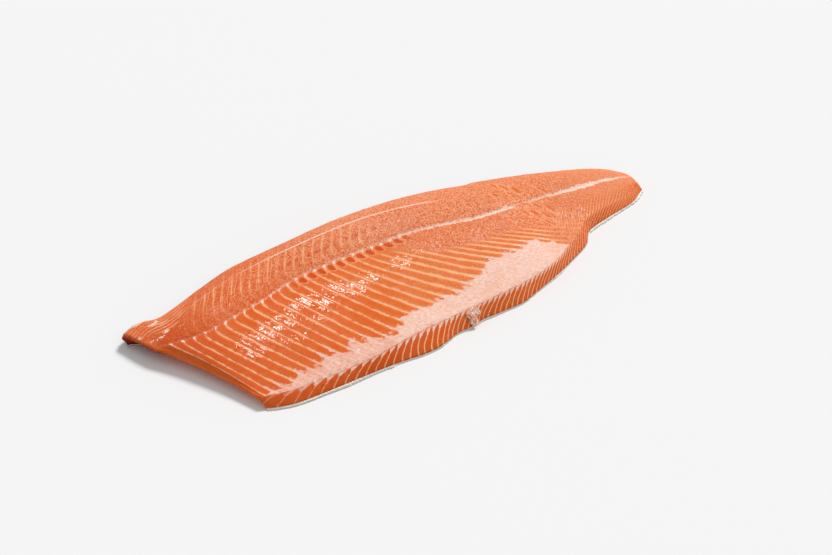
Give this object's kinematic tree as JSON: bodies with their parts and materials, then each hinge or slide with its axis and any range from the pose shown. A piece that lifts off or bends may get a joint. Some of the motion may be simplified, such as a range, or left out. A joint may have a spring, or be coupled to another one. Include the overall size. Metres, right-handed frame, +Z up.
{
  "type": "raw salmon fillet",
  "caption": "Whole raw salmon side with the skin on, lying skin side down: domed loin, backbone groove, slanted muscle lines, cut belly edge and tapering tail.",
  "frame": {"origin": "under the middle of the fillet's footprint, on the surface it lies on", "axes": "+X from the cut head end to the tail, +Y from the belly edge to the back edge, +Z up from the skin to the flesh side"},
  "size_m": [0.5284, 0.1948, 0.0296],
  "materials": {
    "flesh": "moist raw orange fish flesh with white lines, glossy",
    "skin": "wet silver and grey fish skin with small scales"
  },
  "bodies": {
    "root": {"flesh": "flesh", "skin": "skin"}
  },
  "joints": []
}
